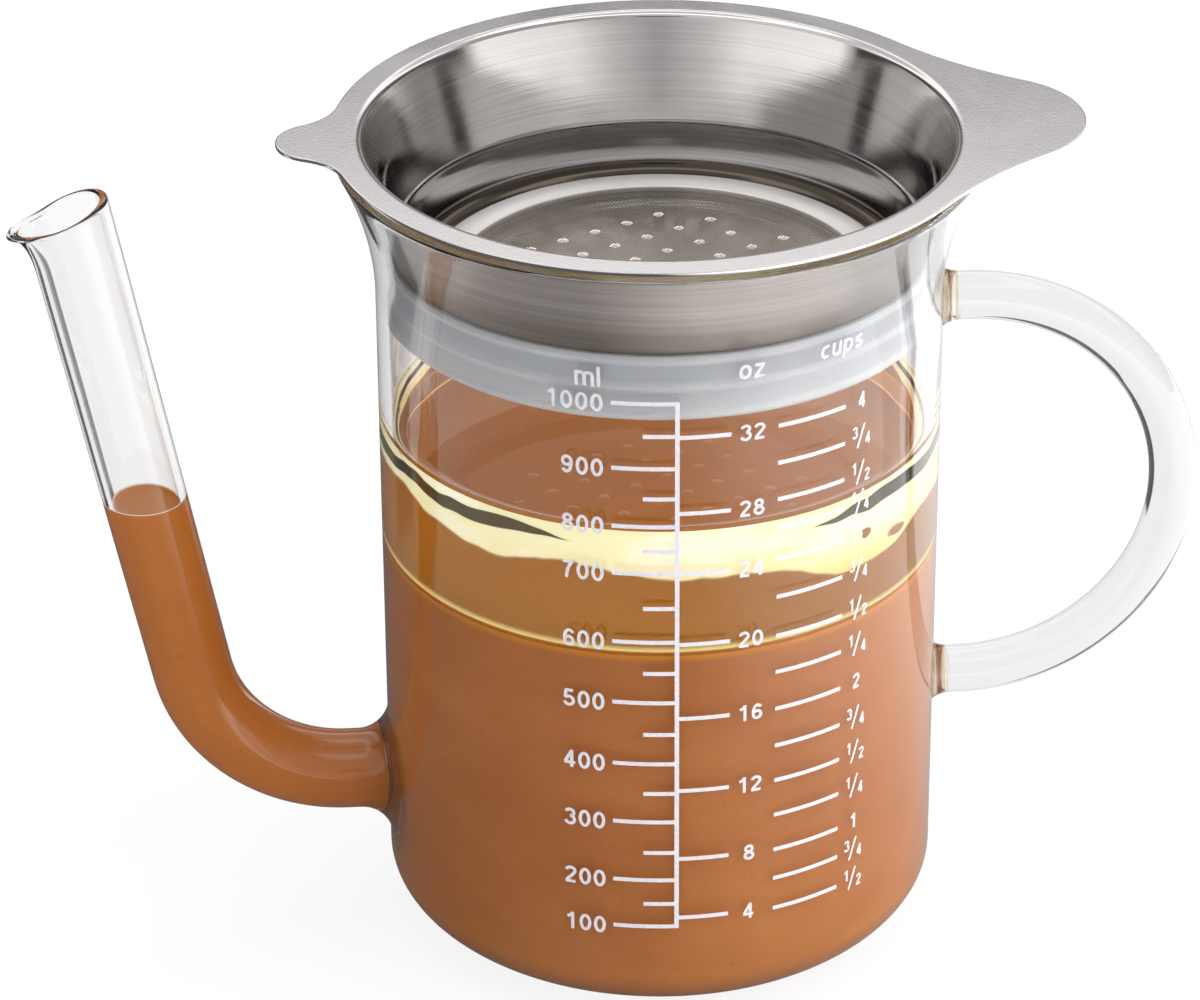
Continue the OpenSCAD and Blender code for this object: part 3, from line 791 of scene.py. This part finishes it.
def figures(bm, text, x, y, high, align="CENTER", thick=0.17, broad=1.0):
    """Upright figures and letters, centred in height on y."""
    widths = [WIDTHS.get(mark, 0.56) * broad + 0.1 for mark in text]
    span = (sum(widths) - 0.1) * high
    left = x - span if align == "RIGHT" else x - span / 2
    for mark, wide in zip(text, widths):
        for line in FIGURES[mark]:
            stroke(bm, [(left + px * broad * high, y + (py - 0.5) * high) for px, py in line], thick * high)
        left += wide * high


def arc_mm(degrees_from_face):
    return radians(degrees_from_face) * JUG_R


def make_scale():
    line = 0.42  # half the width of a stroke
    x_line, x_major, x_half = arc_mm(3.45), arc_mm(-9.37), arc_mm(-3.24)
    x_oz, x_cup0, x_cup1 = arc_mm(14.03), arc_mm(23.7), arc_mm(39.2)
    bm = bmesh.new()

    def tick(x0, x1, z):
        bar(bm, x0, x1, z - line, z + line)

    bar(bm, x_line - line, x_line + line, 23.34 - line, 134.68 + line)
    majors = (134.68, 121.48, 109.55, 99.78, 85.35, 72.44, 59.24, 46.53, 33.67, 23.34)
    for value, z in zip(range(1000, 0, -100), majors):
        tick(x_major, x_line, z)
        figures(bm, str(value), arc_mm(-10.9), z - 0.25, 3.7, "RIGHT", broad=1.18)
    for z in (128.07, 115.29, 104.43, 92.5, 78.72, 65.61, 52.77, 39.76, 28.38):
        tick(x_half, x_line, z)
    ounces = (127.8, 112.24, 99.67, 84.82, 68.99, 53.34, 38.34, 25.26)
    for value, z in zip(range(32, 0, -4), ounces):
        tick(x_line, x_oz, z)
        figures(bm, str(value), arc_mm(18.36), z - 0.1, 3.35, broad=1.22)
    cups = (128.0, 120.4, 112.9, 106.85, 100.4, 92.5, 84.25, 76.5, 68.6, 60.6, 53.0, 45.4, 37.7, 31.3, 24.6)
    for value, z in zip("4 3/4 1/2 1/4 3 3/4 1/2 1/4 2 3/4 1/2 1/4 1 3/4 1/2".split(), cups):
        tick(x_cup0, x_cup1, z)
        if "/" in value:
            figures(bm, value[0], arc_mm(41.9), z + 1.25, 2.5)
            figures(bm, "/", arc_mm(43.9), z + 0.2, 4.4, thick=0.11)
            figures(bm, value[2], arc_mm(45.5), z - 0.75, 2.5)
        else:
            figures(bm, value, arc_mm(43.6), z + 0.1, 3.2)
    words = (("ml", -13.9, 139.9, 4.3), ("oz", 17.9, 140.9, 4.3), ("cups", 37.6, 141.5, 4.1))
    for word, turn, z, high in words:
        figures(bm, word, arc_mm(turn), z, high, thick=0.15)
    # Split long faces so that they follow the wall, then give the print its body
    bmesh.ops.triangulate(bm, faces=bm.faces)
    bmesh.ops.subdivide_edges(bm, edges=[e for e in bm.edges if e.calc_length() > 1.6], cuts=1)
    bmesh.ops.triangulate(bm, faces=bm.faces)
    bmesh.ops.remove_doubles(bm, verts=bm.verts, dist=0.001)
    wrap(bm)
    piece("printed_scale", bm, "jug", PRINT)


# ---------- Gasket ----------

def make_gasket():
    band, top = GASKET_R - 0.6, GASKET_TOP
    inner, foot_r, under = 49.16, 44.7, GASKET_Z + 2.6
    points = [(foot_r + 0.4, GASKET_Z), (band - 0.4, GASKET_Z)]
    step = (top - GASKET_Z - 1.8) / 2
    for i in range(3):
        mid = GASKET_Z + 0.9 + i * step
        points += [(GASKET_R - back, mid + up) for back, up in
                   ((0.6, -0.9), (0.15, -0.42), (0, -0.15), (0, 0.15), (0.15, 0.42), (0.6, 0.9))]
    points += [(band - 0.25, top), (inner + 0.3, top), (inner, top - 0.3)]
    points += [(inner, under + 3.56)] + arc(CUP_R - 3.5, under + 3.56, 3.56, 0, -90, 8)[1:]
    points += [(foot_r + 0.3, under), (foot_r, under - 0.3), (foot_r, GASKET_Z + 0.4)]
    bm = bmesh.new()
    lathe(bm, points + [points[0]])
    piece("ribbed_gasket", bm, "gasket", SILICONE, ["seal_gasket"])


# ---------- Strainer ----------

def ear_reach(angle, tip, r, hollow):
    """How far the flange reaches at an angle from an ear's middle line, or None clear of the ear."""
    x = tip - r
    far, near = FLANGE_R + hollow, r + hollow
    hx = (far * far - near * near + x * x) / (2 * x)
    hy = sqrt(far * far - hx * hx)
    on_flange = atan2(hy, hx)
    on_ear = atan2(hy * r / near, x + (hx - x) * r / near)
    a = abs(angle)
    if a >= on_flange:
        return None
    if a <= on_ear:
        return x * cos(a) + sqrt(r * r - (x * sin(a)) ** 2)
    across = hx * cos(a) + hy * sin(a)
    return across - sqrt(across * across - (hx * hx + hy * hy - hollow * hollow))


def flange_reach(a):
    tab = ear_reach(atan2(sin(a), cos(a)), FLANGE_R + 18.5, 19.5, 82.0)
    ear = ear_reach(atan2(sin(a - pi), cos(a - pi)), FLANGE_R + 9.9, 8.0, 12.0)
    return tab or ear or FLANGE_R


def make_funnel():
    # Turns are closer together across the ears
    turns, a = [], 0.0
    while a < 360:
        turns.append(radians(a))
        a += 0.75 if abs(a - 180) < 16 else 1.0 if a < 42 or a > 318 else 1.8

    def edge_ring(inset, z, step=0.002):
        ring = []
        for t in turns:
            before, at, after = [Vector((cos(u), sin(u), 0)) * flange_reach(u) for u in (t - step, t, t + step)]
            way = (after - before).normalized()
            ring.append(at + Vector((-way.y * inset, way.x * inset, z)))
        return ring

    def round_ring(r, z):
        return [Vector((r * cos(t), r * sin(t), z)) for t in turns]

    def slope(r0, z0, r1, z1, count):
        """Rings along a straight side in twelfths, from the first after its start."""
        return [round_ring(r0 + (r1 - r0) * i / 12, z0 + (z1 - z0) * i / 12) for i in range(1, count + 1)]

    soft = 0.16  # rounding of the cut edge
    near, far = soft * 0.3, soft * 1.6
    rings = [round_ring(ROLL_X + 0.4, FLANGE_Z), round_ring(ROLL_X + 1.6, FLANGE_Z)]
    rings += [edge_ring(inset, FLANGE_Z + up) for inset, up in ((far, 0), (soft, 0), (near, near), (0, soft))]
    rings += [edge_ring(inset, TOP_Z - down) for inset, down in ((0, soft), (near, near), (soft, 0), (far, 0))]
    rings += [round_ring(ROLL_X + 1.6, TOP_Z), round_ring(ROLL_X + 0.3, TOP_Z)]
    inner_end = 180 - degrees(CONE_LEAN)
    roll_z, back_r = TOP_Z - ROLL_R, ROLL_R - SHEET
    rings += [round_ring(r, z) for r, z in arc(ROLL_X, roll_z, ROLL_R, 90, inner_end, 10)]
    rings += slope(ROLL_X - ROLL_R * cos(CONE_LEAN), roll_z + ROLL_R * sin(CONE_LEAN), CUP_R, CONE_Z, 12)
    out = SHEET / cos(CONE_LEAN)
    rings += [round_ring(CUP_R + out * 0.5, CONE_Z - 0.02), round_ring(CUP_R + out, CONE_Z)]
    rings += slope(CUP_R + out, CONE_Z, ROLL_X - back_r * cos(CONE_LEAN), roll_z + back_r * sin(CONE_LEAN), 11)
    rings += [round_ring(r, z) for r, z in arc(ROLL_X, roll_z, back_r, inner_end, 90, 8)]
    bm = bmesh.new()
    loft(bm, rings, joined=True)
    piece("steel_funnel", bm, "strainer", FUNNEL_STEEL, ["strainer_funnel"], crease=50)


def make_cup():
    sunk, slope, drop = 36.0, 1.4, 1.2
    bore, lap = CUP_R - CUP_T, 1.0 * tan(CONE_LEAN)
    floor_z = SEAT_Z - drop
    step = [(sunk - slope - 0.3, floor_z), (sunk - slope + 0.2, floor_z + 0.08), (sunk - 0.2, SEAT_Z - 0.08),
            (sunk + 0.3, SEAT_Z)]
    outline = [(0, floor_z), (18, floor_z)] + step + arc(bore - 3, SEAT_Z + 3, 3.0, -90, 0, 10)
    outline += [(bore, CONE_Z - 2), (bore, CONE_Z), (bore + lap, CONE_Z + 1)]
    outline += [(CUP_R + lap, CONE_Z + 1), (CUP_R, CONE_Z), (CUP_R, CONE_Z - 2)]
    outline += arc(bore - 3, SEAT_Z + 3, 3.0 + CUP_T, 0, -90, 10) + [(r, z - CUP_T) for r, z in step[::-1]]
    bm = bmesh.new()
    lathe(bm, outline + [(18, floor_z - CUP_T), (0, floor_z - CUP_T)], 144)
    cup = piece("steel_cup", bm, "strainer", CUP_STEEL, ["strainer_cup"], crease=35)
    # Sunk middle of the floor, punched with a square pattern of drain holes
    holes = bmesh.new()
    turn, pitch, field, hole_r = radians(27.6), 7.25, 32.6, 1.05
    for i in range(-6, 7):
        for j in range(-6, 7):
            x, y = i * pitch + 2.1, j * pitch - 2.7
            if hypot(x, y) + hole_r < field:
                centre = (x * cos(turn) - y * sin(turn), x * sin(turn) + y * cos(turn), floor_z - CUP_T / 2)
                bmesh.ops.create_cone(holes, cap_ends=True, segments=20, radius1=hole_r, radius2=hole_r,
                                      depth=2, matrix=Matrix.Translation(centre))
    cut(cup, holes)


# ---------- Filter ----------

def make_filter():
    high, r = 1.4, FILTER_R
    inner = r - RING_W
    z0 = FILTER_Z
    outline = [(inner, z0 + 0.12), (inner + 0.12, z0), (r - 0.7, z0)]
    outline += arc(r - 0.7, z0 + 0.7, 0.7, -90, 90, 10)[1:]
    outline += [(r - 3.4, z0 + high), (inner + 1.5, z0 + high - 0.1), (inner + 0.12, z0 + high - 0.25),
                (inner, z0 + high - 0.4)]
    bm = bmesh.new()
    lathe(bm, outline + [outline[0]])
    piece("filter_rim", bm, "filter", RING_STEEL, ["filter_ring"])
    # A single woven sheet, which lies a little uneven in its rim
    bm = bmesh.new()
    bmesh.ops.create_circle(bm, cap_ends=True, cap_tris=True, segments=96, radius=inner + 0.6)
    bmesh.ops.subdivide_edges(bm, edges=bm.edges, cuts=7, use_grid_fill=True)
    for v in bm.verts:
        d = hypot(v.co.x, v.co.y) / inner
        v.co.z = z0 + 0.62 + 0.16 * (sin(v.co.x * 0.19 + 0.6) * cos(v.co.y * 0.15)) * max(0.0, 1 - d * d)
    piece("filter_weave", bm, "filter", MESH_STEEL, ["filter_mesh"], crease=180)


make_jug()
make_contents()
make_spout()
make_handle()
make_scale()
make_gasket()
make_funnel()
make_cup()
make_filter()


# ---------- Table, light and camera ----------

def seen_by_eye(nt, path):
    """Rays that the camera sees, itself or by way of steel and glass."""
    return nt.larger(path["Is Camera Ray"], nt.larger(path["Is Glossy Ray"], path["Is Transmission Ray"]))


def make_floor():
    bm = bmesh.new()
    bmesh.ops.create_circle(bm, cap_ends=True, cap_tris=False, segments=64, radius=2.6)
    mesh = bpy.data.meshes.new("table")
    bm.to_mesh(mesh)
    bm.free()
    floor = new_object("table", mesh)
    mat = bpy.data.materials.new("Pale table")
    mat.use_nodes = True
    nt = Nodes(mat.node_tree)
    mat.node_tree.nodes.clear()
    path = nt.add("ShaderNodeLightPath").outputs
    through = path["Is Transmission Ray"]
    board = nt.add("ShaderNodeBsdfDiffuse", {"Color": (0.86, 0.86, 0.86, 1)})
    # Seen in a mirror, the table is brighter to the right, where the window light falls on it
    x, y, _ = nt.split(object_place(nt))
    right, away = nt.towards(x, y, FACE + 90), nt.towards(x, y, FACE + 180)
    mirror_level = nt.span(right, 0.0, 0.24, 0.14, 2.4)
    # Dark cloths lie to both sides behind the object, and give the glass its dark lines
    out = nt.minus(nt.size(right), 0.105)
    turn = nt.times(nt.math("ARCTAN2", out, away), 180 / pi)
    on_right = nt.math("GREATER_THAN", right, 0.0)
    middle, half = nt.times_plus(on_right, 24.0, 37.0), nt.times_plus(on_right, 6.0, 12.0)
    cloth = nt.span(nt.minus(nt.size(nt.minus(turn, middle)), half), 2.0, -2.0)
    cloth = nt.times(cloth, nt.span(nt.length(out, away), 0.105, 0.12))
    mirrored = nt.times(path["Is Glossy Ray"], nt.minus(1.0, through))
    level = nt.times_plus(mirrored, nt.minus(mirror_level, 1.0), 1.0)
    level = nt.times(level, nt.times_plus(nt.times(cloth, through), -0.97, 1.0))
    # Close in front it throws light up at the steel behind the glass, most of it from the right
    near = nt.times(nt.span(nt.length(right, away), 0.20, 0.16), nt.span(away, 0.0, -0.03))
    uneven = nt.minus(nt.span(right, -0.09, 0.09, 0.3, 1.7), 1.0)
    level = nt.times(level, nt.times_plus(nt.times(near, through), uneven, 1.0))
    glow = nt.add("ShaderNodeEmission", {"Color": (1, 1, 1, 1), "Strength": level})
    first = nt.math("LESS_THAN", path["Diffuse Depth"], 0.5)
    share = nt.times_plus(path["Is Camera Ray"], -0.12, 1.0)
    mix = nt.add("ShaderNodeMixShader", {0: nt.times(nt.times(seen_by_eye(nt, path), share), first),
                                         1: board.outputs[0], 2: glow.outputs[0]})
    nt.link(mix.outputs[0], nt.add("ShaderNodeOutputMaterial").inputs[0])
    mesh.materials.append(mat)
    floor.location.z = -0.0002


def make_world():
    world = bpy.data.worlds.new("Studio")
    bpy.context.scene.world = world
    world.use_nodes = True
    nt = Nodes(world.node_tree)
    world.node_tree.nodes.clear()
    path = nt.add("ShaderNodeLightPath").outputs
    x, y, z = nt.split(nt.add("ShaderNodeTexCoord").outputs["Generated"])
    # How far each way turns from the camera's side of the table, and its share to the right
    flat = nt.larger(nt.math("SQRT", nt.minus(1.0, nt.times(z, z))), 0.001)
    front = nt.math("DIVIDE", nt.towards(x, y, FACE), flat)
    right = nt.towards(x, y, FACE + 90)
    turn = nt.times(nt.math("ARCCOSINE", nt.times(front, 0.9999)), 180 / pi)
    # What polished steel shows near the table: two bright windows beside a dimmer middle, then dark walls
    room = nt.add("ShaderNodeValToRGB", {"Fac": nt.math("DIVIDE", turn, 180.0)})
    ramp = room.color_ramp
    stops = [(0, 0.42), (19, 0.72), (34, 1.1), (74, 1.3), (82, 0.08), (120, 0.06), (150, 0.3), (180, 0.5)]
    for k, (angle, level) in enumerate(stops):
        stop = ramp.elements[k] if k < 2 else ramp.elements.new(angle / 180)
        stop.position, stop.color = angle / 180, (level, level, level, 1)
    # Higher up: an even wall in front with a dark stand in it, and a light panel behind
    stand = nt.times(nt.span(turn, 11.0, 7.5), nt.times(nt.span(z, 0.30, 0.32), nt.span(z, 0.48, 0.46)))
    wall = nt.times(nt.span(right, 0.5, -0.5, 0.42, 0.8), nt.times_plus(stand, -0.93, 1.0))
    panel = nt.minus(nt.span(z, 0.375, 0.46, 0.16, 1.5), nt.span(z, 0.56, 0.64, 0.0, 0.75))
    high = nt.blend(nt.span(turn, 88.0, 104.0), wall, panel)
    mirrored = nt.blend(nt.span(z, 0.20, 0.26), room.outputs[0], high)
    mirrored = nt.blend(nt.span(z, 0.78, 0.86), mirrored, (1.8, 1.8, 1.82, 1))
    mirrored = nt.blend(nt.span(z, 0.93, 0.955), mirrored, (0.72, 0.72, 0.74, 1))
    # Through glass: dark flags to both sides, and two dark screens behind that lean in at their tops
    flag = nt.times(nt.span(nt.size(right), 0.80, 0.93), nt.span(z, 0.55, 0.38))
    lean = nt.times_plus(z, 60.0, 134.0)
    screen = nt.span(nt.size(nt.minus(turn, lean)), 14.0, 11.0)
    screen = nt.times(screen, nt.times(nt.span(z, 0.47, 0.42), nt.span(z, -0.2, -0.1)))
    through = nt.times(nt.times_plus(flag, -0.6, 1.0), nt.times_plus(screen, -0.95, 1.0))
    colour = nt.blend(path["Is Glossy Ray"], (1, 1, 1, 1), mirrored)
    colour = nt.blend(path["Is Transmission Ray"], colour, through)
    shown = nt.times(seen_by_eye(nt, path), nt.math("LESS_THAN", path["Diffuse Depth"], 0.5))
    # Soft light, strongest from the right and above; what stands behind glass gets back what it takes
    level = nt.plus(nt.span(right, -0.1, 0.9, 0.5, 2.7), nt.span(z, 0.3, 1.0, 0.0, 0.5))
    level = nt.times(level, nt.times_plus(path["Is Transmission Ray"], 0.3, 1.0))
    fill = nt.add("ShaderNodeBackground", {"Color": (1, 1, 1, 1), "Strength": level})
    back = nt.add("ShaderNodeBackground", {"Color": colour, "Strength": 1.0})
    mix = nt.add("ShaderNodeMixShader", {0: shown, 1: fill.outputs[0], 2: back.outputs[0]})
    nt.link(mix.outputs[0], nt.add("ShaderNodeOutputWorld").inputs[0])


def aim(obj, place, target):
    obj.location = place
    obj.rotation_euler = (target - obj.location).to_track_quat("-Z", "Y").to_euler()


def lamp(name, place, size, power):
    light = bpy.data.lights.new(name, "AREA")
    light.shape, light.size, light.size_y, light.energy = "RECTANGLE", size[0], size[1], power
    obj = new_object(name, light)
    aim(obj, place, Vector((0, 0, 0.08)))
    obj.visible_glossy = False


def make_camera():
    cam = bpy.data.cameras.new("Camera")
    cam.sensor_width, cam.lens = 36.0, 154.74
    cam.shift_x = -0.0496
    cam.clip_start, cam.clip_end = 0.05, 20
    obj = new_object("Camera", cam)
    tilt, face, away = radians(28.45), radians(FACE), 0.994
    target = Vector((0, 0, 0.0862))
    aim(obj, target + away * Vector((cos(face) * cos(tilt), sin(face) * cos(tilt), sin(tilt))), target)
    bpy.context.scene.camera = obj


make_floor()
make_world()
lamp("Key softbox", (0.95, -0.55, 0.9), (0.7, 0.7), 5.0)
lamp("Overhead softbox", (-0.1, 0.25, 1.35), (1.0, 0.8), 4.0)
make_camera()
scene = bpy.context.scene
scene.view_settings.view_transform = "Standard"
scene.cycles.max_bounces, scene.cycles.transmission_bounces = 32, 24
scene.cycles.transparent_max_bounces, scene.cycles.glossy_bounces = 16, 24
